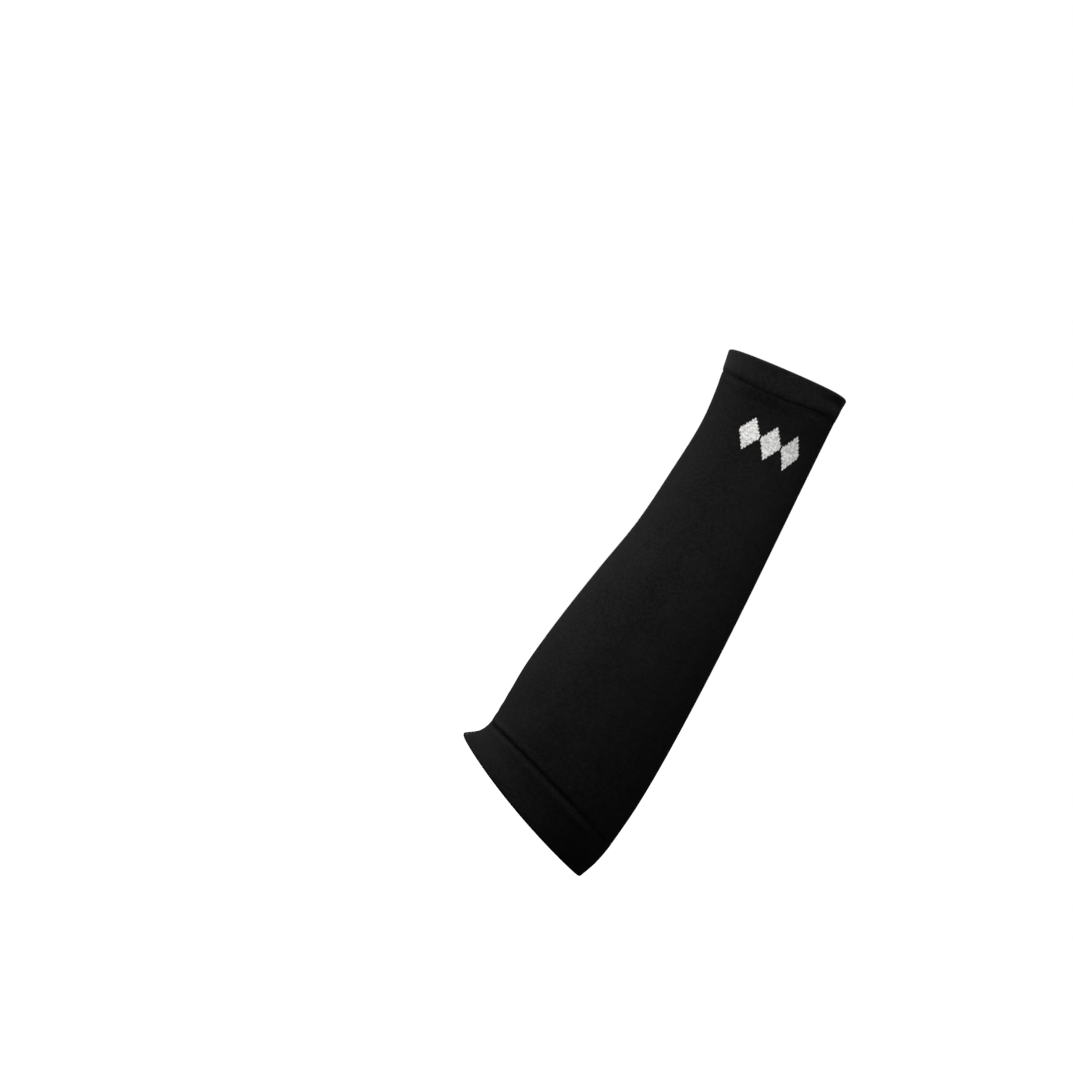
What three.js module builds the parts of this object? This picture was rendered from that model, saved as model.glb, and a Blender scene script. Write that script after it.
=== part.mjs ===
// A short arm sleeve in its worn shape: one seamless knitted tube, finished by a narrow turned welt at the
// wrist end and a wider one at the elbow end. A turned welt is the same knit folded double.
// Millimetres. +Z runs from the elbow end to the wrist end, +X to the ulnar side and +Y to the palm side, so
// -Y is the back. The origin is on the tube's axis, halfway along the sleeve.
import * as THREE from "three";
import { LoftGeometry } from "three/addons/geometries/LoftGeometry.js";

// Thicknesses of the knit, and the room that two knitted edges leave at a seam
const BODY_WALL = 1.2;
const WELT_LAYER = 0.95;
const WELT_SLOT = 0.3;
const WELT_PROUD = 0.15;
const SEAM_GAP = 0.3;

// How far, and over what length, an edge turns in at a seam
const EDGE_ROLL = 0.45;
const EDGE_ROLL_LENGTH = 0.9;

// Facets: points around the tube, spans along each piece, and steps around a welt's fold
const AROUND = 48;
const BODY_SPANS = 30;
const WRIST_WELT_SPANS = 4;
const ELBOW_WELT_SPANS = 6;
const SLOT_SPANS = 2;
const FOLD_STEPS = 4;

// Steps for measuring the surface's directions, in millimetres along and radians around
const PROBE_ALONG = 0.05;
const PROBE_AROUND = 0.002;

// The sleeve's outside, a row for each section from the wrist end to the elbow end. A section crosses the
// radial side and the ulnar side at the points given, and reaches to the back and to the palm side by dorsal
// and palmar. It is thinner by the share pinch at its ulnar side, and bows towards the wrist end between its
// two sides. A negative pinch makes it fuller, and a negative bow turns it towards the elbow end. Pinch and
// bow each keep close to one side, by a power of the share of the way across.
const COLUMNS = ["radialX", "radialZ", "ulnarX", "ulnarZ", "dorsal", "palmar", "pinch", "bow"];
const SECTIONS = {
  wristRim: [-33.2, 124.6, 28.8, 130.9, 24.4, 24.8, -0.35, 0.0],
  wristSeam: [-30.8, 113.1, 29.1, 118.9, 23.4, 23.8, -0.3, -5.8],
  wristNeck: [-27.3, 88.0, 30.9, 91.0, 21.2, 22.6, -0.05, 0.0],
  taperStart: [-28.2, 58.0, 33.1, 60.0, 23.8, 25.0, 0.0, 0.0],
  taperMiddle: [-30.2, 29.0, 35.3, 29.0, 28.2, 29.0, 0.05, 0.0],
  swellStart: [-35.0, 0.0, 37.1, 0.0, 32.6, 33.2, 0.12, 0.0],
  swellMiddle: [-39.3, -29.0, 38.6, -31.0, 36.2, 37.0, 0.25, 0.0],
  fullest: [-42.4, -58.0, 39.6, -64.0, 38.4, 39.4, 0.4, 0.0],
  creaseStart: [-42.6, -79.0, 39.3, -92.0, 38.6, 40.0, 0.5, 3.0],
  elbowSeam: [-43.2, -91.3, 37.5, -113.3, 37.8, 39.6, 0.52, 4.6],
  crease: [-45.7, -97.4, 35.6, -124.5, 37.4, 39.2, 0.5, 1.4],
  elbowRim: [-52.0, -102.4, 31.9, -135.2, 38.0, 39.4, 0.46, -3.0],
};
const SIDE_POWER = 4;

// A section's station is its distance from the wrist rim, measured through the middles of the sections.
function stationsOf(rows) {
  const middles = rows.map(([rx, rz, ux, uz]) => new THREE.Vector2((rx + ux) / 2, (rz + uz) / 2));
  let station = 0;
  return middles.map((middle, i) => {
    station += i === 0 ? 0 : middle.distanceTo(middles[i - 1]);
    return station;
  });
}

const rows = Object.values(SECTIONS);
const stations = stationsOf(rows);
const between = new THREE.CubicInterpolant(stations, rows.flat(), COLUMNS.length);
const stationOf = (name) => stations[Object.keys(SECTIONS).indexOf(name)];

function sectionAt(station) {
  const row = between.evaluate(station);
  return Object.fromEntries(COLUMNS.map((name, i) => [name, row[i]]));
}

// A point of the sleeve's outside. Angle 0 is the ulnar side and a quarter turn is the palm side.
function outsidePoint(station, angle) {
  const section = sectionAt(station);
  const across = Math.cos(angle);
  const side = Math.sin(angle);
  const ulnarShare = (1 + across) / 2;
  const radialShare = 1 - ulnarShare;
  const reach = side > 0 ? section.palmar : section.dorsal;
  return new THREE.Vector3(
    radialShare * section.radialX + ulnarShare * section.ulnarX,
    reach * side * (1 - section.pinch * ulnarShare ** SIDE_POWER),
    radialShare * section.radialZ +
      ulnarShare * section.ulnarZ +
      section.bow * (radialShare - radialShare ** SIDE_POWER),
  );
}

// The point, the direction along the tube towards the elbow end, and the direction out of the knit.
function outsideFrame(station, angle) {
  const along = outsidePoint(station + PROBE_ALONG, angle);
  along.sub(outsidePoint(station - PROBE_ALONG, angle)).normalize();
  const around = outsidePoint(station, angle + PROBE_AROUND);
  around.sub(outsidePoint(station, angle - PROBE_AROUND)).normalize();
  const outward = new THREE.Vector3().crossVectors(along, around).normalize();
  return { point: outsidePoint(station, angle), along, outward };
}

// One ring of a wall: so deep under the outside, and carried so far along the tube past its station.
function wallRing({ station, depth, carried = 0 }) {
  return Array.from({ length: AROUND }, (_, i) => {
    const { point, along, outward } = outsideFrame(station, (i / AROUND) * 2 * Math.PI);
    return point.addScaledVector(outward, -depth).addScaledVector(along, carried);
  });
}

// Stations from first to last in equal spans, both ends included.
function evenStations(first, last, spans) {
  return Array.from({ length: spans + 1 }, (_, i) => THREE.MathUtils.lerp(first, last, i / spans));
}

// A run of rings at one depth.
function layer(first, last, spans, depth) {
  return evenStations(first, last, spans).map((station) => ({ station, depth }));
}

// A closed wall whose section follows the profile's rings and comes back to the first one.
function wallGeometry(profile) {
  const rings = profile.map(wallRing);
  return new LoftGeometry([...rings, rings[0]]);
}

// The tube between the two seams, with both cut edges turned in a little.
function bodyProfile(firstSeam, lastSeam) {
  const first = firstSeam + SEAM_GAP / 2;
  const last = lastSeam - SEAM_GAP / 2;
  return [
    { station: first, depth: EDGE_ROLL },
    ...layer(first + EDGE_ROLL_LENGTH, last - EDGE_ROLL_LENGTH, BODY_SPANS, 0),
    { station: last, depth: EDGE_ROLL },
    ...layer(last, first, BODY_SPANS, BODY_WALL),
  ];
}

// Half a turn around a fold's edge, from the outer face to the inner one, without the ends.
function foldRings(station, middleDepth, radius, towardsRim) {
  return Array.from({ length: FOLD_STEPS - 1 }, (_, i) => {
    const swing = (Math.PI * (i + 1)) / FOLD_STEPS;
    return {
      station,
      depth: middleDepth - radius * Math.cos(swing),
      carried: towardsRim * radius * Math.sin(swing),
    };
  });
}

// A band folded double at its rim: outer layer out to the fold, inner layer back, then the slot between them.
function weltProfile(seam, rim, spans) {
  const towardsRim = Math.sign(rim - seam);
  const outerFace = -WELT_PROUD;
  const innerFace = outerFace + 2 * WELT_LAYER + WELT_SLOT;
  const slotMiddle = (outerFace + innerFace) / 2;
  const foldRadius = (innerFace - outerFace) / 2;
  const edge = seam + (towardsRim * SEAM_GAP) / 2;
  const rolledEdge = edge + towardsRim * EDGE_ROLL_LENGTH;
  const fold = rim - towardsRim * foldRadius;
  const slotOuter = slotMiddle - WELT_SLOT / 2;
  const slotInner = slotMiddle + WELT_SLOT / 2;
  const slotFold = { station: fold, depth: slotMiddle, carried: (towardsRim * WELT_SLOT) / 2 };
  return [
    { station: edge, depth: outerFace + EDGE_ROLL },
    ...layer(rolledEdge, fold, spans, outerFace),
    ...foldRings(fold, slotMiddle, foldRadius, towardsRim),
    ...layer(fold, edge, spans, innerFace),
    ...layer(edge, fold, SLOT_SPANS, slotInner),
    slotFold,
    ...layer(fold, edge, SLOT_SPANS, slotOuter),
  ];
}

// Matt black nylon and elastane, a little smoother on the welts
const bodyKnit = new THREE.MeshStandardMaterial({ color: 0x1a1a1b, roughness: 0.92, metalness: 0 });
const weltKnit = new THREE.MeshStandardMaterial({ color: 0x1d1d20, roughness: 0.85, metalness: 0 });

// One named piece. A profile whose outside runs to the elbow end is reversed, so that faces point outwards.
function piece(name, profile, material) {
  const runsToElbow = profile[1].station < profile[2].station;
  const mesh = new THREE.Mesh(wallGeometry(runsToElbow ? profile.reverse() : profile), material);
  mesh.name = name;
  return mesh;
}

const wristSeam = stationOf("wristSeam");
const elbowSeam = stationOf("elbowSeam");

const sleeve = new THREE.Group();
sleeve.name = "short_arm_sleeve";
sleeve.add(
  piece("wrist_welt", weltProfile(wristSeam, stationOf("wristRim"), WRIST_WELT_SPANS), weltKnit),
  piece("sleeve_body", bodyProfile(wristSeam, elbowSeam), bodyKnit),
  piece("elbow_welt", weltProfile(elbowSeam, stationOf("elbowRim"), ELBOW_WELT_SPANS), weltKnit),
);

export default sleeve;
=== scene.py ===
# %% [markdown]
# # A short arm sleeve, as worn
#
# The sleeve is one tube of fine black jersey, knitted in the round with no seam along it, and it has the
# shape that it takes when it is stretched in wear. Each end is finished with a turned welt: the knit runs
# on, folds back inside and is linked down, so the band is double and its rim is a soft fold. The frame
# holds these three pieces as plain solids. Here each is replaced by a finer surface in the same place,
# with its yarn drawn on it.

import bpy
import numpy as np
from mathutils import Matrix, Vector


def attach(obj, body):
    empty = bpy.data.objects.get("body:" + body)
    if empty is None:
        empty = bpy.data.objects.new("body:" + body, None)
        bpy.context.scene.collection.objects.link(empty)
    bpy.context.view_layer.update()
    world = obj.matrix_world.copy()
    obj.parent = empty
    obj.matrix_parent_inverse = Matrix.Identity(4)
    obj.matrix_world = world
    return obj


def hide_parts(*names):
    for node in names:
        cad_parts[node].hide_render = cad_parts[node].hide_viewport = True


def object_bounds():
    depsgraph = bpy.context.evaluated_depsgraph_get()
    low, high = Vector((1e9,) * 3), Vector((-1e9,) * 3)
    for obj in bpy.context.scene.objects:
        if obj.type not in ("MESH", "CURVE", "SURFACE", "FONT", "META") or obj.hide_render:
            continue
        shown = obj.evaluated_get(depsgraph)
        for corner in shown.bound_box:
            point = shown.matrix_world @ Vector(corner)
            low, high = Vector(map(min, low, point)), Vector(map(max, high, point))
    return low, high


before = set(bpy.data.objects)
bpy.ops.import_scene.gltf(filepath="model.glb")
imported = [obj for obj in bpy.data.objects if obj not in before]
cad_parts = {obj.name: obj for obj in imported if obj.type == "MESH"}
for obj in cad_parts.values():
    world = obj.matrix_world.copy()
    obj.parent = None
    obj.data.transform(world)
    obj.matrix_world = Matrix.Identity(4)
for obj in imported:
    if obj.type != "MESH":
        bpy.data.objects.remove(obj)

MM = 0.001
scene = bpy.context.scene
cad_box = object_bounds()
print("CAD box in mm:", [[round(x / MM, 1) for x in corner] for corner in cad_box])

# %% [markdown]
# ## Camera
#
# The frame has the sleeve upright, with its wrist end at the top. The picture has it slanting to the
# upper right. The camera could be swung round the sleeve, but the picture faces its back squarely, so the
# camera looks straight along +Y and is only rolled about its own line of sight. A point 70 mm beside the
# sleeve's axis is in the middle of the picture.

# %% Camera at the picture's angle
PICTURE_WIDTH_PX = 1073
PX_PER_MM = 2.05
CAMERA_DISTANCE = 1.2
SLEEVE_SLANT = np.radians(30.0)
PICTURE_MIDDLE = Vector((-70.0 * MM, 0.0, 0.0))


def photo_camera():
    """A camera whose picture is PICTURE_WIDTH_PX wide at PX_PER_MM, in the plane of the sleeve's axis."""
    data = bpy.data.cameras.new("photo_camera")
    data.lens = data.sensor_width * CAMERA_DISTANCE / (PICTURE_WIDTH_PX / PX_PER_MM * MM)
    right = Vector((np.cos(SLEEVE_SLANT), 0.0, np.sin(SLEEVE_SLANT)))
    up = Vector((-np.sin(SLEEVE_SLANT), 0.0, np.cos(SLEEVE_SLANT)))
    back = Vector((0.0, -1.0, 0.0))
    place = Matrix((right, up, back)).transposed().to_4x4()
    place.translation = PICTURE_MIDDLE + CAMERA_DISTANCE * back
    camera = bpy.data.objects.new("photo_camera", data)
    camera.matrix_world = place
    scene.collection.objects.link(camera)
    return camera


scene.camera = photo_camera()
print("lens", round(scene.camera.data.lens, 1), "mm")

# %% [markdown]
# ## The worn shape
#
# A seamless tube has no pattern pieces to draw: all of its shape comes from how far it is stretched,
# place by place. So the worn shape is described by a short table, a row for each section from the wrist
# end to the elbow end, and everything else is worked out from it. A section crosses the radial side and
# the ulnar side at given points, which holds both outlines to the picture's, and reaches to the back and
# to the palm side. A cubic through the rows fills in between them.

# %% The sleeve's sections
COLUMNS = ("radial_x", "radial_z", "ulnar_x", "ulnar_z", "dorsal", "palmar", "pinch", "bow")
SECTIONS_MM = {
    "wrist_rim": (-33.2, 124.6, 28.8, 130.9, 24.4, 24.8, -0.35, 0.0),
    "wrist_seam": (-30.8, 113.1, 29.1, 118.9, 23.4, 23.8, -0.3, -5.8),
    "wrist_neck": (-27.3, 88.0, 30.9, 91.0, 21.2, 22.6, -0.05, 0.0),
    "taper_start": (-28.2, 58.0, 33.1, 60.0, 23.8, 25.0, 0.0, 0.0),
    "taper_middle": (-30.2, 29.0, 35.3, 29.0, 28.2, 29.0, 0.05, 0.0),
    "swell_start": (-35.0, 0.0, 37.1, 0.0, 32.6, 33.2, 0.12, 0.0),
    "swell_middle": (-39.3, -29.0, 38.6, -31.0, 36.2, 37.0, 0.25, 0.0),
    "fullest": (-42.4, -58.0, 39.6, -64.0, 38.4, 39.4, 0.4, 0.0),
    "crease_start": (-42.6, -79.0, 39.3, -92.0, 38.6, 40.0, 0.5, 3.0),
    "elbow_seam": (-43.2, -91.3, 37.5, -113.3, 37.8, 39.6, 0.52, 4.6),
    "crease": (-45.7, -97.4, 35.6, -124.5, 37.4, 39.2, 0.5, 1.4),
    "elbow_rim": (-52.0, -102.4, 31.9, -135.2, 38.0, 39.4, 0.46, -3.0),
}
rows = np.array(list(SECTIONS_MM.values())) * [1.0 if name == "pinch" else MM for name in COLUMNS]
middles = (rows[:, 0:2] + rows[:, 2:4]) / 2
stations = np.concatenate([[0.0], np.cumsum(np.linalg.norm(np.diff(middles, axis=0), axis=1))])
station_of = dict(zip(SECTIONS_MM, stations))
print("length through the sections' middles", round(stations[-1] / MM, 1), "mm")


def row_slopes():
    """Each column's slope at a row: that between the rows beside it, or at an end that of the last span."""
    slopes = np.empty_like(rows)
    slopes[1:-1] = (rows[2:] - rows[:-2]) / (stations[2:] - stations[:-2])[:, None]
    slopes[0] = (rows[1] - rows[0]) / (stations[1] - stations[0])
    slopes[-1] = (rows[-1] - rows[-2]) / (stations[-1] - stations[-2])
    return slopes


SLOPES = row_slopes()


def sections_at(station):
    """All columns at the given stations, each by the cubic that meets the rows' values and slopes."""
    row = np.clip(np.searchsorted(stations, station, side="right") - 1, 0, len(stations) - 2)
    span = (stations[row + 1] - stations[row])[..., None]
    p = (station - stations[row])[..., None] / span
    before = (1 + 2 * p) * (1 - p) ** 2 * rows[row] + p * (1 - p) ** 2 * span * SLOPES[row]
    after = p**2 * (3 - 2 * p) * rows[row + 1] - p**2 * (1 - p) * span * SLOPES[row + 1]
    return dict(zip(COLUMNS, np.moveaxis(before + after, -1, 0)))


# %% [markdown]
# A point of the sleeve's outside has two parameters: its station, the distance from the wrist rim along
# the tube, and its angle around it. The wall's thickness is measured straight out of the surface, so each
# point also needs the direction along the tube and the direction outwards. Small differences give both.

# %% The sleeve's outside
ULNAR, RADIAL, DORSAL = 0.0, np.pi, 1.5 * np.pi
SIDE_POWER = 4
PROBE_ALONG = 0.05 * MM
PROBE_AROUND = 0.002


def outside(station, angle):
    """Points of the outside: an oval in the plane of the section, its reach to back and palm side unlike.

    Angle 0 is the ulnar side, a quarter turn the palm side and three quarters the back. The pinch thins the
    section towards the ulnar side, or squares it there where it is negative. The bow lifts it between its
    sides, most on the radial half, where the crease at the elbow end holds the edge down.
    """
    station, angle = np.broadcast_arrays(station, angle)
    s = sections_at(station)
    across, side = np.cos(angle), np.sin(angle)
    ulnar = (1 + across) / 2
    radial = 1 - ulnar
    x = radial * s["radial_x"] + ulnar * s["ulnar_x"]
    y = np.where(side > 0, s["palmar"], s["dorsal"]) * side * (1 - s["pinch"] * ulnar**SIDE_POWER)
    z = radial * s["radial_z"] + ulnar * s["ulnar_z"] + s["bow"] * (radial - radial**SIDE_POWER)
    return np.stack([x, y, z], axis=-1)


def unit(vectors):
    """The vectors at length one."""
    return vectors / np.linalg.norm(vectors, axis=-1, keepdims=True)


def outside_frame(station, angle):
    """Point, direction to the elbow end and direction outwards, by central differences of the outside."""
    along = unit(outside(station + PROBE_ALONG, angle) - outside(station - PROBE_ALONG, angle))
    around = unit(outside(station, angle + PROBE_AROUND) - outside(station, angle - PROBE_AROUND))
    return outside(station, angle), along, unit(np.cross(along, around))


MEASURE_POINTS = 361
ring = np.linspace(0.0, 2 * np.pi, MEASURE_POINTS)
for name in ("wrist_seam", "fullest"):
    girth = np.linalg.norm(np.diff(outside(station_of[name], ring), axis=0), axis=1).sum()
    print(name, "girth", round(girth / MM), "mm")

# %% [markdown]
# ## Walls of knit
#
# Every piece of the sleeve is a ring-shaped wall. Its section is a closed line: down the outside, round
# an edge and back up the inside. Carrying that line round the axis gives a closed surface without any
# cap. The map that comes with it runs once round the sleeve and once along the section, so a stitch
# pattern can follow the wales and courses of the knit exactly. The map begins at the palm side, away from
# the camera.

# %% A closed wall from its section
COLUMNS_AROUND = 240


def column_angles(count):
    """Angles of the columns, once round from the palm side."""
    return np.pi / 2 + 2 * np.pi * np.arange(count) / count


def section_lengths(section):
    """Distance of each ring along the closed section, with the whole way round as its last entry."""
    station, depth, carried, groove = section
    way = np.stack([station + carried, depth + groove], axis=1)
    steps = np.linalg.norm(np.diff(np.concatenate([way, way[:1]]), axis=0), axis=1)
    return np.concatenate([[0.0], np.cumsum(steps)])


def wall_points(section, angles, relief, opened):
    """Rings of the wall: each lies at its station, so deep under the outside, carried on along the tube.

    relief(station, angle) is how far the knit as a whole stands off the smooth shape there, and
    opened(station, angle) is the share of a ring's groove that shows at that angle.
    """
    station, depth, carried, groove = (column[:, None] for column in section)
    angle = angles[None, :]
    point, along, outward = outside_frame(station, angle)
    stand = relief(station, angle) - depth - groove * opened(station, angle)
    return point + outward * stand[..., None] + along * carried[..., None]


def grid_mesh(name, points, v):
    """A mesh on a grid that closes both ways. Its map has u round the sleeve and v, per ring, along it."""
    rings, columns = points.shape[:2]
    here = np.arange(rings * columns).reshape(rings, columns)
    below, beside = np.roll(here, -1, axis=0), np.roll(here, -1, axis=1)
    faces = np.stack([here, below, np.roll(below, -1, axis=1), beside], axis=-1).reshape(-1, 4)
    mesh = bpy.data.meshes.new(name)
    mesh.from_pydata(points.reshape(-1, 3).tolist(), [], faces.tolist())
    mesh.polygons.foreach_set("use_smooth", np.ones(len(faces), dtype=bool))
    u = np.arange(columns + 1) / columns
    corner_u = np.stack([u[:-1], u[:-1], u[1:], u[1:]], axis=-1)
    corner_v = np.stack([v[:-1], v[1:], v[1:], v[:-1]], axis=-1)
    corners = np.stack(np.broadcast_arrays(corner_u[None], corner_v[:, None]), axis=-1)
    mesh.uv_layers.new(name="OFBake").uv.foreach_set("vector", corners.astype(np.float32).ravel())
    mesh.update()
    return mesh


def knit_wall(name, section, relief, opened):
    """One piece: the section carried round the axis, reversed if its outside runs to the wrist end."""
    if section[0][1] > section[0][2]:
        section = section[:, ::-1]
    lengths = section_lengths(section)
    points = wall_points(section, column_angles(COLUMNS_AROUND), relief, opened)
    piece = bpy.data.objects.new(name, grid_mesh(name, points, lengths / lengths[-1]))
    scene.collection.objects.link(piece)
    print(name, "rings", len(points), "section", round(lengths[-1] / MM, 1), "mm round")
    return piece, section, lengths


# %% [markdown]
# ## Gathers and folds
#
# Stretched knit isn't perfectly even. At each seam the double welt holds the girth in, so the single knit
# beside it lies in shallow gathers that die out within a centimetre, and the seam itself is pulled in
# more in some places than in others. Below the wrist welt the knit drops steeply into a hollow and comes
# out of it slowly, so two bells make that hollow. Smaller dents and a ridge follow, towards the ends of
# the two seams. The knit also folds at the radial side by the elbow seam, has one faint wrinkle on its
# back and piles up in a ridge on the elbow welt. Each is under a millimetre, and they move the whole
# wall, outside and inside.

# %% Relief of the knit
GATHER_WAVES = (17, 26, 41)
GATHER_HEIGHT = 0.2 * MM
GATHER_REACH = 6.0 * MM
PULL_WAVES = (13, 23, 36)
PULL_DEPTH = {"wrist_seam": 0.12 * MM, "elbow_seam": 0.3 * MM}
PULL_REACH = 1.6 * MM
CLOSING = {"wrist_seam": ((ULNAR, 0.22),), "elbow_seam": ((ULNAR, 1.1), (RADIAL, 0.25))}
GATHER_SEED = 7
phases = np.random.default_rng(GATHER_SEED).uniform(0.0, 2 * np.pi, (2, 2, len(GATHER_WAVES)))

# Lengths are in mm, angles and spreads in radians, and a slant in mm per radian
FOLD_COLUMNS = ("station", "angle", "slant", "width", "spread", "height")
wrist_seam_mm, elbow_seam_mm = station_of["wrist_seam"] / MM, station_of["elbow_seam"] / MM
FOLDS = {
    "steep_hollow": (wrist_seam_mm + 5.2, DORSAL - 0.45, 0.0, 4.6, 1.0, -0.8),
    "slow_hollow": (wrist_seam_mm + 12.0, DORSAL - 0.35, 0.0, 7.0, 0.9, -0.9),
    "wrist_welt_dent": (wrist_seam_mm - 7.2, DORSAL + 1.05, 0.0, 2.1, 0.35, -0.65),
    "wrist_radial_dent": (wrist_seam_mm + 0.3, RADIAL + 0.55, 0.0, 2.4, 0.4, -0.75),
    "wrist_ulnar_dent": (wrist_seam_mm + 1.2, DORSAL + 0.75, 0.0, 1.5, 0.5, -0.3),
    "elbow_radial_ridge": (elbow_seam_mm - 3.4, RADIAL + 0.5, 0.0, 1.7, 0.35, 0.6),
    "lower_bend_fold": (elbow_seam_mm - 5.5, RADIAL, 4.0, 2.4, 0.5, 0.22),
    "middle_bend_fold": (elbow_seam_mm - 12.5, RADIAL, 4.0, 2.6, 0.45, 0.2),
    "upper_bend_fold": (elbow_seam_mm - 21.0, RADIAL, 4.0, 3.0, 0.4, 0.15),
    "back_wrinkle": (118.0, DORSAL + np.radians(28.0), -60.0, 2.2, 0.14, -0.25),
    "elbow_welt_ridge": (elbow_seam_mm + 2.6, DORSAL + 0.42, 0.0, 1.6, 0.35, 0.3),
}


def off_angle(angle, middle):
    """How far an angle is from the middle, the short way round."""
    return (angle - middle + np.pi) % (2 * np.pi) - np.pi


def seam_open(seam, angle):
    """Share of a seam's groove that is open: 1, less a flat-topped bell at each side where it closes."""
    bells = [np.exp(-((off_angle(angle, side) / spread) ** 4)) for side, spread in CLOSING[seam]]
    return 1 - sum(bells)


def groove_open(station, angle):
    """The share that is open of the nearer seam's groove."""
    wrist_half = station < (station_of["wrist_seam"] + station_of["elbow_seam"]) / 2
    return np.where(wrist_half, seam_open("wrist_seam", angle), seam_open("elbow_seam", angle))


def ripple(angle, waves, starts):
    """The mean of a few waves round the sleeve, between -1 and 1."""
    return sum(np.cos(n * angle + start) for n, start in zip(waves, starts)) / len(waves)


def gathers(station, angle):
    """Ripples beside each seam and an uneven pull on its groove, each times a bell of the distance."""
    total = 0.0
    for seam, (gather, pull) in zip(("wrist_seam", "elbow_seam"), phases):
        off = station - station_of[seam]
        rippled = GATHER_HEIGHT * ripple(angle, GATHER_WAVES, gather)
        pulled = PULL_DEPTH[seam] * (ripple(angle, PULL_WAVES, pull) - 1) / 2 * seam_open(seam, angle)
        total = total + rippled * np.exp(-((off / GATHER_REACH) ** 2))
        total = total + pulled * np.exp(-((off / PULL_REACH) ** 2))
    return total


def folds(station, angle):
    """Ridges, or hollows where the height is negative: a bell across a slanting line times one along it."""
    total = 0.0
    for values in FOLDS.values():
        fold = dict(zip(FOLD_COLUMNS, values))
        off = off_angle(angle, fold["angle"])
        ridge = (fold["station"] + fold["slant"] * off) * MM
        across = (station - ridge) / (fold["width"] * MM)
        total = total + fold["height"] * MM * np.exp(-(across**2) - (off / fold["spread"]) ** 2)
    return total


def knit_relief(station, angle):
    """Everything that lifts the knit off the smooth shape: gathers plus folds."""
    return gathers(station, angle) + folds(station, angle)


relief_seen = knit_relief(np.linspace(0.0, stations[-1], MEASURE_POINTS)[:, None], ring[None, :]) / MM
print("relief from", round(relief_seen.min(), 2), "to", round(relief_seen.max(), 2), "mm")

# %% [markdown]
# ## Grooves at the seams
#
# Tube and welt meet in a groove. Its two sides are unlike: at the wrist the welt comes down in a long
# slope and the tube hardly dips, and at the elbow the tube dives under a welt whose edge is round. Both
# grooves close towards the ulnar side, where the knit is stretched flat, and the elbow's closes at its
# radial end too. Each side is given by its depth and length in mm and by its roundness.

# %% Grooves
TUBE_ROLL = {"wrist_seam": (0.04, 0.8, 1.0), "elbow_seam": (0.9, 2.8, 1.0)}
WELT_ROLL = {"wrist_seam": (0.48, 2.9, 1.0), "elbow_seam": (0.5, 2.6, 2.0)}


def edge_roll(distance, roll):
    """Depth * (1 - share of the length ** roundness) squared: roundness 1 gives a V, 2 a round edge."""
    depth, length, roundness = roll
    share = np.clip(np.abs(distance) / (length * MM), 0.0, 1.0)
    return depth * MM * (1 - share**roundness) ** 2


# %% [markdown]
# ## The knitted tube
#
# The tube is a single layer of knit between the two seams. Rings crowd together towards the seams, where
# the surface bends most.

# %% Knitted tube
BODY_WALL = 1.2 * MM
SEAM_GAP = {"wrist_seam": 0.12 * MM, "elbow_seam": 0.3 * MM}
TUBE_RINGS = 180
CROWDING = 0.9


def crowded(first, last, count):
    """Stations from first to last, closer together near both ends by a sine term."""
    t = np.linspace(0.0, 1.0, count)
    return first + (last - first) * (t - CROWDING * np.sin(2 * np.pi * t) / (2 * np.pi))


def level(stations_along, depth, groove=0.0):
    """Rings along one face of a layer, with no carry along the tube."""
    columns = np.broadcast_arrays(stations_along, depth, 0.0, groove)
    return np.stack(columns)


def tube_section():
    """Outside from the wrist seam to the elbow seam, then the inside back."""
    first = station_of["wrist_seam"] + SEAM_GAP["wrist_seam"] / 2
    last = station_of["elbow_seam"] - SEAM_GAP["elbow_seam"] / 2
    outer = crowded(first, last, TUBE_RINGS)
    at_wrist = edge_roll(outer - first, TUBE_ROLL["wrist_seam"])
    at_elbow = edge_roll(outer - last, TUBE_ROLL["elbow_seam"])
    inner = np.linspace(last, first, TUBE_RINGS // 2)
    return np.concatenate([level(outer, 0.0, at_wrist + at_elbow), level(inner, BODY_WALL)], axis=1)


knit_tube, tube_rings, tube_lengths = knit_wall("knit_tube", tube_section(), knit_relief, groove_open)

# %% [markdown]
# ## The turned welts
#
# A turned welt is a strip of the same knit folded double, so its section is a long thin U: out along the
# outer layer, round the fold at the rim, back along the inner layer, and then up and down the slot
# between the two. Modelling it as a real fold gives the rim its round edge and shows two layers where the
# band ends inside.

# %% Turned welts
WELT_LAYER = 0.95 * MM
WELT_SLOT = 0.3 * MM
WELT_PROUD = {"wrist_seam": 0.15 * MM, "elbow_seam": 0.08 * MM}
WELT_RINGS = 48
SLOT_RINGS = 6
FOLD_STEPS = 10
SLOT_FOLD_STEPS = 4


def half_turn(station, middle, radius, towards, start, steps):
    """Rings round a fold, from one layer to the other, without its ends. start is 0 for the outer layer."""
    swing = np.pi * (np.arange(1, steps) / steps)
    depth = middle + (radius if start else -radius) * np.cos(swing)
    carried = towards * radius * np.sin(swing)
    return np.stack([np.full_like(swing, station), depth, carried, np.zeros_like(swing)])


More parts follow.
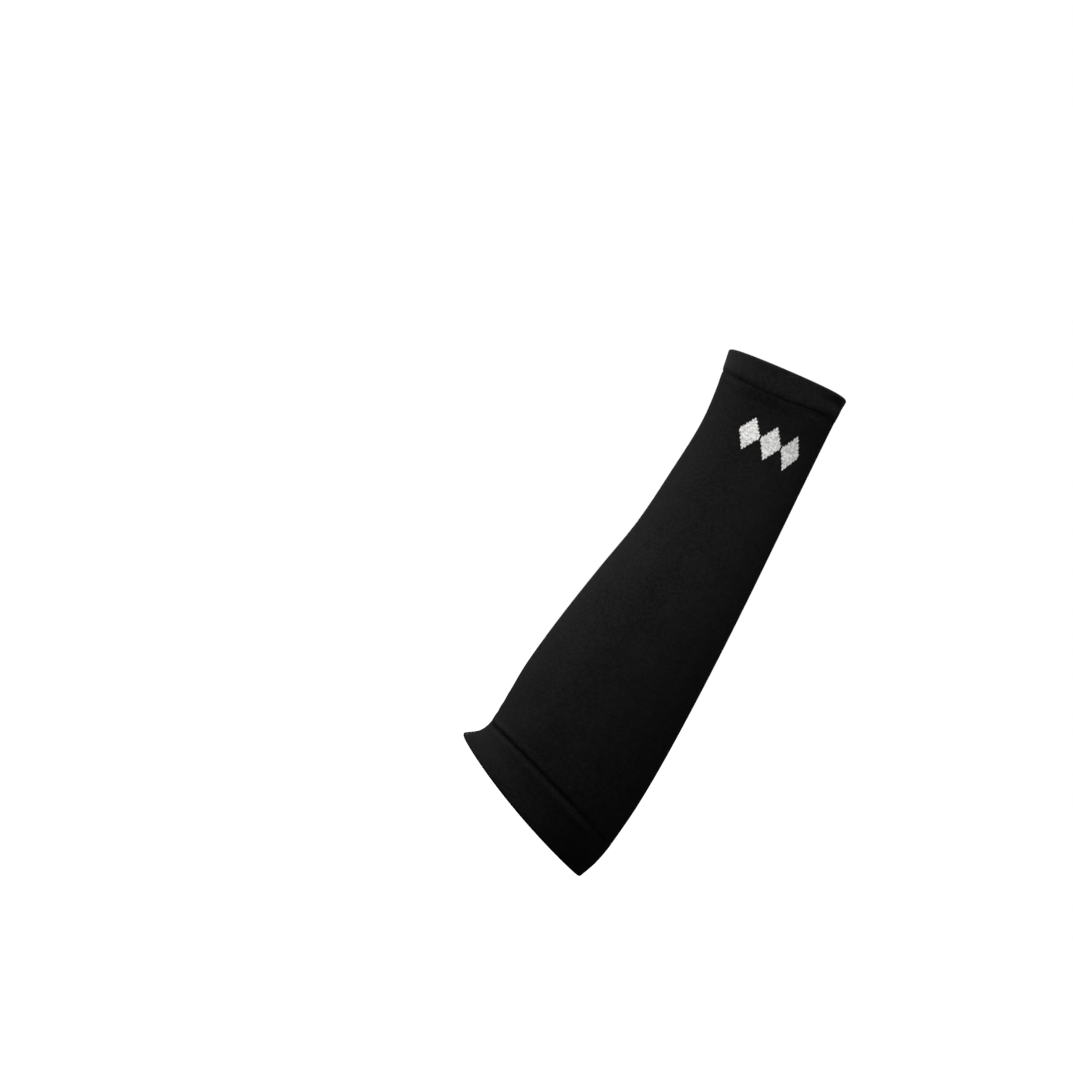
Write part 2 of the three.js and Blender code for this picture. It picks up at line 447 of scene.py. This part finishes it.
def welt_section(seam, rim):
    """Outer face, fold, inner face and slot of a band folded double at its rim, just proud of the tube."""
    towards = np.sign(station_of[rim] - station_of[seam])
    half = WELT_LAYER + WELT_SLOT / 2
    middle = half - WELT_PROUD[seam]
    edge = station_of[seam] + towards * SEAM_GAP[seam] / 2
    fold = station_of[rim] - towards * half
    outer = crowded(edge, fold, WELT_RINGS)
    inner = np.linspace(fold, edge, WELT_RINGS // 2)
    slot = np.linspace(edge, fold, SLOT_RINGS)
    return np.concatenate(
        [
            level(outer, -WELT_PROUD[seam], edge_roll(outer - edge, WELT_ROLL[seam])),
            half_turn(fold, middle, half, towards, 0, FOLD_STEPS),
            level(inner, middle + half),
            level(slot, middle + WELT_SLOT / 2),
            half_turn(fold, middle, WELT_SLOT / 2, towards, 1, SLOT_FOLD_STEPS),
            level(slot[::-1], middle - WELT_SLOT / 2),
        ],
        axis=1,
    )


wrist_profile = welt_section("wrist_seam", "wrist_rim")
elbow_profile = welt_section("elbow_seam", "elbow_rim")
wrist_band, _, wrist_lengths = knit_wall("wrist_band", wrist_profile, knit_relief, groove_open)
elbow_band, _, elbow_lengths = knit_wall("elbow_band", elbow_profile, knit_relief, groove_open)

# %% [markdown]
# ## Linking at the seams
#
# In each groove a row of loops links the welt down. From outside it shows as a fine chain, two strands
# that twist about each other, with a turn for every second wale. Each strand is a thin tube round the
# sleeve.

# %% Linking chains
WALES = 192
CHAIN_DEPTH = {"wrist_seam": 0.32 * MM, "elbow_seam": 0.6 * MM}
STRAND_RADIUS = {"wrist_seam": 0.1 * MM, "elbow_seam": 0.17 * MM}
STEPS_PER_TURN = 10
STRAND_SIDES = 6


def strand(seam, start):
    """One strand: a circle carried along a helix about the groove's line, both of the strand's radius."""
    turns = WALES // 2
    angle = column_angles(turns * STEPS_PER_TURN)
    point, along, outward = outside_frame(station_of[seam], angle)
    radius = STRAND_RADIUS[seam]
    lift = (knit_relief(station_of[seam], angle) - CHAIN_DEPTH[seam])[:, None]
    phase = (turns * angle + start)[:, None]
    middle = point + outward * lift + radius * (along * np.cos(phase) + outward * np.sin(phase))
    turn = 2 * np.pi * np.arange(STRAND_SIDES)[:, None, None] / STRAND_SIDES
    return middle[None] + radius * (along[None] * np.cos(turn) - outward[None] * np.sin(turn))


def linking_chain(name, seam):
    """Both strands of a seam, half a turn apart, joined into one piece. Each has half the map's height."""
    v = np.arange(STRAND_SIDES + 1) / STRAND_SIDES / 2
    grids = [grid_mesh(name, strand(seam, np.pi * i), v + i / 2) for i in range(2)]
    chain, other = (bpy.data.objects.new(name, grid) for grid in grids)
    for part in (chain, other):
        scene.collection.objects.link(part)
    with bpy.context.temp_override(active_object=chain, selected_editable_objects=[chain, other]):
        bpy.ops.object.join()
    print(name, "faces", len(chain.data.polygons))
    return chain


wrist_linking = linking_chain("wrist_linking", "wrist_seam")
elbow_linking = linking_chain("elbow_linking", "elbow_seam")

# %% [markdown]
# ## Stitches as a shader group
#
# Jersey shows columns of V-shaped loops, the wales. Tens of thousands of loops are too many for a mesh,
# so a node group draws them on the map. Half a wale is one leg of the V: round across, slanting towards
# the wale's middle, and pinched where it meets the next loop. The group gives the height for bump, and
# the number of the wale and the course, so that colour can change from stitch to stitch.


# %% Node helpers
def add_node(tree, kind, inputs=None, **settings):
    """A node with its settings; each input takes a value, or a link from another node's socket."""
    node = tree.nodes.new(kind)
    for name, value in settings.items():
        setattr(node, name, value)
    for key, value in (inputs or {}).items():
        if isinstance(value, bpy.types.NodeSocket):
            tree.links.new(value, node.inputs[key])
        else:
            node.inputs[key].default_value = value
    return node


def maths(tree, operation, *values):
    """The result of a Math node on values or sockets."""
    return add_node(tree, "ShaderNodeMath", dict(enumerate(values)), operation=operation).outputs[0]


def new_group(name, inputs, outputs):
    """An empty shader group with named float or vector sockets, and its input and output nodes."""
    group = bpy.data.node_groups.new(name, "ShaderNodeTree")
    for in_out, sockets in (("INPUT", inputs), ("OUTPUT", outputs)):
        for socket, kind in sockets.items():
            group.interface.new_socket(socket, in_out=in_out, socket_type=kind)
    return group, group.nodes.new("NodeGroupInput"), group.nodes.new("NodeGroupOutput")


# %% Stitch group
def knit_stitches():
    """Height = leg's round section * (pinch + (1 - pinch) * sine along the loop), and stitch numbers."""
    scalar = "NodeSocketFloat"
    group, given, out = new_group(
        "knit_stitches",
        {"Map": "NodeSocketVector", "Wales": scalar, "Courses": scalar, "Slant": scalar, "Pinch": scalar},
        {"Height": scalar, "Wale": scalar, "Course": scalar},
    )
    place = add_node(group, "ShaderNodeSeparateXYZ", {0: given.outputs["Map"]})
    across = maths(group, "MULTIPLY", place.outputs["X"], given.outputs["Wales"])
    in_wale = maths(group, "FRACT", across)
    from_middle = maths(group, "ABSOLUTE", maths(group, "MULTIPLY_ADD", in_wale, 2.0, -1.0))
    up = maths(group, "MULTIPLY", place.outputs["Y"], given.outputs["Courses"])
    slanted = maths(group, "MULTIPLY_ADD", from_middle, given.outputs["Slant"], up)
    off_leg = maths(group, "MULTIPLY_ADD", from_middle, 2.0, -1.0)
    off_squared = maths(group, "MULTIPLY", off_leg, off_leg)
    round_leg = maths(group, "SQRT", maths(group, "SUBTRACT", 1.0, off_squared))
    loop = maths(group, "SINE", maths(group, "MULTIPLY", maths(group, "FRACT", slanted), np.pi))
    open_part = maths(group, "SUBTRACT", 1.0, given.outputs["Pinch"])
    along = maths(group, "MULTIPLY_ADD", loop, open_part, given.outputs["Pinch"])
    group.links.new(maths(group, "MULTIPLY", round_leg, along), out.inputs["Height"])
    group.links.new(maths(group, "FLOOR", across), out.inputs["Wale"])
    group.links.new(maths(group, "FLOOR", slanted), out.inputs["Course"])
    return group


stitch_group = knit_stitches()
print("stitch group nodes", len(stitch_group.nodes))

# %% [markdown]
# ## Yarn as a shader group
#
# Black yarn isn't one flat black. Each stitch takes the dye a little differently, and a slow mottle runs
# over the cloth where it is stretched more or less. The gaps between the legs are painted darker than
# their tops, as painted shade where less light reaches into the knit. This group turns a plain yarn colour
# into that cloth colour, painted shade included, for the tube, the welts and the linking alike.

# %% Yarn group
MOTTLE_SCALE = 60.0
MOTTLE_DETAIL = 4.0
MOTTLE_ROUGHNESS = 0.75


def yarn_shade():
    """Colour = yarn * (1 + fleck * noise per stitch + mottle * slow noise) * shade.

    The shade is painted shade, darker in the gaps between the legs.
    """
    scalar, vector = "NodeSocketFloat", "NodeSocketVector"
    group, given, out = new_group(
        "yarn_shade",
        {
            "Yarn": "NodeSocketColor",
            "Height": scalar,
            "Wale": scalar,
            "Course": scalar,
            "Fleck": scalar,
            "Mottle": scalar,
            "Gap": scalar,
            "Place": vector,
        },
        {"Color": "NodeSocketColor", "Fleck": scalar},
    )
    stitch = add_node(group, "ShaderNodeCombineXYZ", {0: given.outputs["Wale"], 1: given.outputs["Course"]})
    noise = add_node(group, "ShaderNodeTexWhiteNoise", {"Vector": stitch.outputs[0]}, noise_dimensions="2D")
    fleck = maths(group, "MULTIPLY_ADD", noise.outputs["Value"], 2.0, -1.0)
    slow = add_node(
        group,
        "ShaderNodeTexNoise",
        {
            "Vector": given.outputs["Place"],
            "Scale": MOTTLE_SCALE,
            "Detail": MOTTLE_DETAIL,
            "Roughness": MOTTLE_ROUGHNESS,
        },
    )
    mottle = maths(group, "MULTIPLY_ADD", slow.outputs["Fac"], 2.0, -1.0)
    bright = maths(group, "MULTIPLY_ADD", fleck, given.outputs["Fleck"], 1.0)
    bright = maths(group, "MULTIPLY_ADD", mottle, given.outputs["Mottle"], bright)
    open_part = maths(group, "SUBTRACT", 1.0, given.outputs["Gap"])
    shade = maths(group, "MULTIPLY_ADD", given.outputs["Height"], open_part, given.outputs["Gap"])
    factor = maths(group, "MULTIPLY", bright, shade)
    tinted = add_node(
        group, "ShaderNodeVectorMath", {0: given.outputs["Yarn"], 3: factor}, operation="SCALE"
    )
    group.links.new(tinted.outputs[0], out.inputs["Color"])
    group.links.new(fleck, out.inputs["Fleck"])
    return group


yarn_group = yarn_shade()
print("yarn group nodes", len(yarn_group.nodes))

# %% [markdown]
# ## The knit's material
#
# One function makes the material of tube and welts, because all of them are the same knit: the stitch
# group draws the loops, the yarn group colours them, and a Bump node lifts them. Matt nylon reflects
# little, and a trace of sheen stands for the fine fibre ends that catch the light along the outline.

# %% Knit material
STITCH_SLANT = 0.8
LOOP_PINCH = 0.35
STITCH_RELIEF = 0.25 * MM
# GAP_SHADE is painted shade: the share of the yarn's colour left in the gaps between the legs
FLECK, MOTTLE, GAP_SHADE = 0.3, 0.25, 0.6
ROUGHNESS_FLECK = 0.05
MATT_SPECULAR = 0.03
SHEEN_ROUGHNESS = 0.45


def knit_material(name, courses, yarn_of, bump, roughness, sheen):
    """Stitches on the piece's map. yarn_of(tree, stitch) gives the yarn's colour, plain or as a socket."""
    material = bpy.data.materials.new(name)
    material.use_nodes = True
    tree = material.node_tree
    uv = add_node(tree, "ShaderNodeUVMap", uv_map="OFBake")
    place = add_node(tree, "ShaderNodeTexCoord")
    counts = {"Map": uv.outputs["UV"], "Wales": WALES, "Courses": courses}
    shape = {"Slant": STITCH_SLANT, "Pinch": LOOP_PINCH}
    stitch = add_node(tree, "ShaderNodeGroup", counts | shape, node_tree=stitch_group)
    numbers = {key: stitch.outputs[key] for key in ("Height", "Wale", "Course")}
    dye = {"Fleck": FLECK, "Mottle": MOTTLE, "Gap": GAP_SHADE, "Place": place.outputs["Object"]}
    dye["Yarn"] = yarn_of(tree, stitch)
    cloth = add_node(tree, "ShaderNodeGroup", numbers | dye, node_tree=yarn_group)
    lifted = add_node(
        tree,
        "ShaderNodeBump",
        {"Strength": bump, "Distance": STITCH_RELIEF, "Height": stitch.outputs["Height"]},
    )
    shader = tree.nodes["Principled BSDF"]
    tree.links.new(cloth.outputs["Color"], shader.inputs["Base Color"])
    rough = maths(tree, "MULTIPLY_ADD", cloth.outputs["Fleck"], ROUGHNESS_FLECK, roughness)
    tree.links.new(rough, shader.inputs["Roughness"])
    tree.links.new(lifted.outputs["Normal"], shader.inputs["Normal"])
    shader.inputs["Specular IOR Level"].default_value = MATT_SPECULAR
    shader.inputs["Sheen Weight"].default_value = sheen
    shader.inputs["Sheen Roughness"].default_value = SHEEN_ROUGHNESS
    return material


# %% [markdown]
# ## A knitted-in mark
#
# Near the wrist the back of the sleeve carries a small mark in white yarn. Here it is a plain row of
# three diamonds, a common figure in knitting. A mark that is knitted in can only change colour from
# stitch to stitch, so its edges are stepped: the diamonds are worked out on the numbers of wale and
# course.

# %% Yarns and the mark
COURSE_PITCH = 0.62 * MM
BLACK_YARN = (0.0102, 0.0102, 0.0104, 1.0)
CHARCOAL_YARN = (0.0107, 0.0108, 0.0114, 1.0)
# Painted shade: the elbow welt's yarn is darker than the same knit elsewhere, for the shade at the elbow end
SHADED_ELBOW_YARN = (0.0080, 0.0080, 0.0082, 1.0)
WHITE_YARN = (0.90, 0.89, 0.87, 1.0)
MARK_STATION = 35.0 * MM
MARK_ANGLE = DORSAL + np.radians(8.3)
DIAMOND_WALES = 12
DIAMOND_COURSES = 29
DIAMONDS = 3


def courses_round(lengths):
    """Whole number of courses once round a piece's section."""
    return round(lengths[-1] / COURSE_PITCH)


def diamond_mask(tree, stitch, middle_wale, middle_course):
    """One where a stitch lies in a diamond: its shares of half width and half height add to under 1."""
    x = maths(tree, "SUBTRACT", stitch.outputs["Wale"], middle_wale)
    repeat = maths(tree, "FRACT", maths(tree, "MULTIPLY_ADD", x, 1 / DIAMOND_WALES, 0.5))
    wide = maths(tree, "ABSOLUTE", maths(tree, "MULTIPLY_ADD", repeat, 2.0, -1.0))
    y = maths(tree, "SUBTRACT", stitch.outputs["Course"], middle_course)
    high = maths(tree, "ABSOLUTE", maths(tree, "MULTIPLY", y, 2 / DIAMOND_COURSES))
    in_diamond = maths(tree, "LESS_THAN", maths(tree, "ADD", wide, high), 1.0)
    in_row = maths(tree, "LESS_THAN", maths(tree, "ABSOLUTE", x), DIAMONDS * DIAMOND_WALES / 2)
    return maths(tree, "MULTIPLY", in_diamond, in_row)


def marked_yarn(tree, stitch):
    """Black yarn, and white in the mark's stitches."""
    share_round = (MARK_ANGLE - np.pi / 2) / (2 * np.pi)
    outer = slice(0, TUBE_RINGS)
    down = np.interp(MARK_STATION, tube_rings[0][outer], tube_lengths[:-1][outer])
    mask = diamond_mask(tree, stitch, round(share_round * WALES), round(down / COURSE_PITCH))
    yarn = add_node(tree, "ShaderNodeMix", {0: mask, 6: BLACK_YARN, 7: WHITE_YARN}, data_type="RGBA")
    return yarn.outputs[2]


tube_knit = knit_material(
    "tube_knit", courses_round(tube_lengths), marked_yarn, bump=0.7, roughness=0.9, sheen=0.003
)


def plain_yarn(yarn):
    """A yarn_of that gives every stitch the same yarn."""
    return lambda tree, stitch: yarn


# Two layers pressed together lie flatter than one, so the welts' loops are lower
wrist_knit = knit_material(
    "wrist_band_knit",
    courses_round(wrist_lengths),
    plain_yarn(CHARCOAL_YARN),
    bump=0.4,
    roughness=0.85,
    sheen=0.02,
)
# The elbow band's darker yarn is painted shade for the elbow end, not a yarn of its own
elbow_knit = knit_material(
    "elbow_band_knit",
    courses_round(elbow_lengths),
    plain_yarn(SHADED_ELBOW_YARN),
    bump=0.4,
    roughness=0.85,
    sheen=0.003,
)
finishes = {knit_tube: tube_knit, wrist_band: wrist_knit, elbow_band: elbow_knit}
for piece, finish in finishes.items():
    piece.data.materials.append(finish)
print("stitches round", WALES, "courses of the tube", courses_round(tube_lengths) // 2)

# %% [markdown]
# ## Linking yarn
#
# The linking strands are too thin for loops to show on them, so their yarn is drawn as the twist of its
# own fibres: slanting stripes along the strand's map, in the same black, with painted shade between them.

# %% Linking yarn
TWISTS = 900.0
TWIST_RELIEF = 0.05 * MM
TWIST_BUMP = 0.5
LINKING_ROUGHNESS = 0.75


def linking_material():
    """Slanting fibre stripes, a sine of u and v on the strand's map, as bump and as painted shade."""
    material = bpy.data.materials.new("linking_yarn")
    material.use_nodes = True
    tree = material.node_tree
    uv = add_node(tree, "ShaderNodeUVMap", uv_map="OFBake")
    place = add_node(tree, "ShaderNodeSeparateXYZ", {0: uv.outputs["UV"]})
    turns = maths(tree, "MULTIPLY_ADD", place.outputs["X"], TWISTS, place.outputs["Y"])
    wave = maths(tree, "SINE", maths(tree, "MULTIPLY", turns, 2 * np.pi))
    ridge = maths(tree, "MULTIPLY_ADD", wave, 0.5, 0.5)
    texture = add_node(tree, "ShaderNodeTexCoord")
    dye = {"Yarn": BLACK_YARN, "Height": ridge, "Wale": maths(tree, "FLOOR", turns), "Course": 0.0}
    dye |= {"Fleck": FLECK, "Mottle": MOTTLE, "Gap": GAP_SHADE, "Place": texture.outputs["Object"]}
    cloth = add_node(tree, "ShaderNodeGroup", dye, node_tree=yarn_group)
    relief = {"Strength": TWIST_BUMP, "Distance": TWIST_RELIEF, "Height": ridge}
    lifted = add_node(tree, "ShaderNodeBump", relief)
    shader = tree.nodes["Principled BSDF"]
    tree.links.new(cloth.outputs["Color"], shader.inputs["Base Color"])
    tree.links.new(lifted.outputs["Normal"], shader.inputs["Normal"])
    shader.inputs["Roughness"].default_value = LINKING_ROUGHNESS
    shader.inputs["Specular IOR Level"].default_value = MATT_SPECULAR
    return material


linking_yarn = linking_material()
for chain in (wrist_linking, elbow_linking):
    chain.data.materials.append(linking_yarn)
    print(chain.name, "has", linking_yarn.name)

# %% [markdown]
# ## What stands for what
#
# Tube and welts each replace a plain solid. Every piece rides on the sleeve's one body. The knit is held
# stretched in wear: relaxed, it is about a seventh narrower round than worn, and a welt's strip is twice as
# long as the band is wide.

# %% Pieces on the body
REPLACED = {knit_tube: "sleeve_body", wrist_band: "wrist_welt", elbow_band: "elbow_welt"}
SLOTS = {knit_tube: "body_knit", wrist_band: "welt_knit", elbow_band: "welt_knit"}
SLOTS |= {wrist_linking: "welt_knit", elbow_linking: "welt_knit"}
for piece, node in REPLACED.items():
    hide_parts(node)
for piece, finish_slot in SLOTS.items():
    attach(piece, "root")

# %% [markdown]
# ## Studio
#
# The picture has a pure white ground, so floor and sky both read as white. Left to itself so much white
# would wash the black knit out. The floor is therefore hidden from the sleeve's own light, and the sky is
# white only to the camera and gives the sleeve little light, mostly from the backdrop's side.

# %% Floor
FLOOR_BELOW = 120 * MM
FLOOR_HALF = 6.0
FLOOR_GREY, FLOOR_ROUGHNESS, FLOOR_GLOW = 0.85, 0.9, 1.0
WHITE = (1.0, 1.0, 1.0, 1.0)


def white_floor():
    """A wide square under the sleeve, pale enough to read as white, that throws no light back up."""
    z = cad_box[0].z - FLOOR_BELOW
    corners = [(x * FLOOR_HALF, y * FLOOR_HALF, z) for x, y in ((-1, -1), (1, -1), (1, 1), (-1, 1))]
    mesh = bpy.data.meshes.new("studio_floor")
    mesh.from_pydata(corners, [], [(0, 1, 2, 3)])
    floor = bpy.data.objects.new("studio_floor", mesh)
    material = bpy.data.materials.new("floor_white")
    material.use_nodes = True
    shader = material.node_tree.nodes["Principled BSDF"]
    shader.inputs["Base Color"].default_value = (FLOOR_GREY, FLOOR_GREY, FLOOR_GREY, 1.0)
    shader.inputs["Roughness"].default_value = FLOOR_ROUGHNESS
    shader.inputs["Emission Color"].default_value = WHITE
    shader.inputs["Emission Strength"].default_value = FLOOR_GLOW
    mesh.materials.append(material)
    floor.visible_diffuse = False
    floor.visible_glossy = False
    scene.collection.objects.link(floor)
    print(floor.name, "at", round(z / MM), "mm")


white_floor()

# %% Sky
SKY_SEEN, SKY_LIGHT, BACKDROP_LIGHT = 1.0, 0.08, 0.4


def white_sky():
    """White to the camera; to the sleeve SKY_LIGHT plus BACKDROP_LIGHT times the direction's share of +Y."""
    world = bpy.data.worlds.new("white_sky")
    world.use_nodes = True
    tree = world.node_tree
    seen = add_node(tree, "ShaderNodeLightPath").outputs["Is Camera Ray"]
    direction = add_node(tree, "ShaderNodeTexCoord").outputs["Generated"]
    parts = add_node(tree, "ShaderNodeSeparateXYZ", {0: direction})
    behind = maths(tree, "MAXIMUM", parts.outputs["Y"], 0.0)
    light = maths(tree, "MULTIPLY_ADD", behind, BACKDROP_LIGHT, SKY_LIGHT)
    strength = add_node(tree, "ShaderNodeMix", {0: seen, 2: light, 3: SKY_SEEN}).outputs[0]
    background = tree.nodes["Background"]
    background.inputs["Color"].default_value = WHITE
    tree.links.new(strength, background.inputs["Strength"])
    scene.world = world
    print(world.name, "gives", SKY_LIGHT, "to", round(SKY_LIGHT + BACKDROP_LIGHT, 2))


white_sky()

# %% [markdown]
# One soft light comes from the upper left, with little fill, so black knit keeps its form. The key lamp
# stands high on the left, a side lamp draws the radial edge, and a weak fill catches the wrist end from
# the upper right. A fourth lamp straight behind lights the palm side for other views and can't be seen in
# this one.

# %% Lamps
# Places, aims and sizes are in metres, power in watts and spread in degrees
LAMP_COLUMNS = ("place", "aim", "size", "power", "spread")
LAMPS = {
    "key_lamp": ((-0.30, -0.64, 0.89), (0.0, 0.0, 0.05), 0.35, 0.88, 35.0),
    "side_lamp": ((-0.97, 0.35, 0.43), (0.0, 0.0, 0.05), 0.35, 0.9, 45.0),
    "fill_lamp": ((0.75, -0.35, 1.1), (0.0, 0.0, 0.10), 0.2, 0.035, 16.0),
    "palm_lamp": ((0.0, 1.4, 0.2), (0.0, 0.0, 0.0), 0.2, 0.8, 45.0),
}


def soft_lamp(name, place, aim, size, power, spread):
    """A square lamp of the given size that faces the aim, with its beam held to the angle of spread."""
    data = bpy.data.lights.new(name, "AREA")
    data.size, data.energy, data.spread = size, power, np.radians(spread)
    lamp = bpy.data.objects.new(name, data)
    lamp.location = place
    lamp.rotation_euler = (Vector(aim) - Vector(place)).to_track_quat("-Z", "Y").to_euler()
    lamp.visible_camera = False
    scene.collection.objects.link(lamp)
    print(name, power, "W")


for lamp_name, values in LAMPS.items():
    soft_lamp(lamp_name, **dict(zip(LAMP_COLUMNS, values)))
scene.view_settings.view_transform = "Standard"
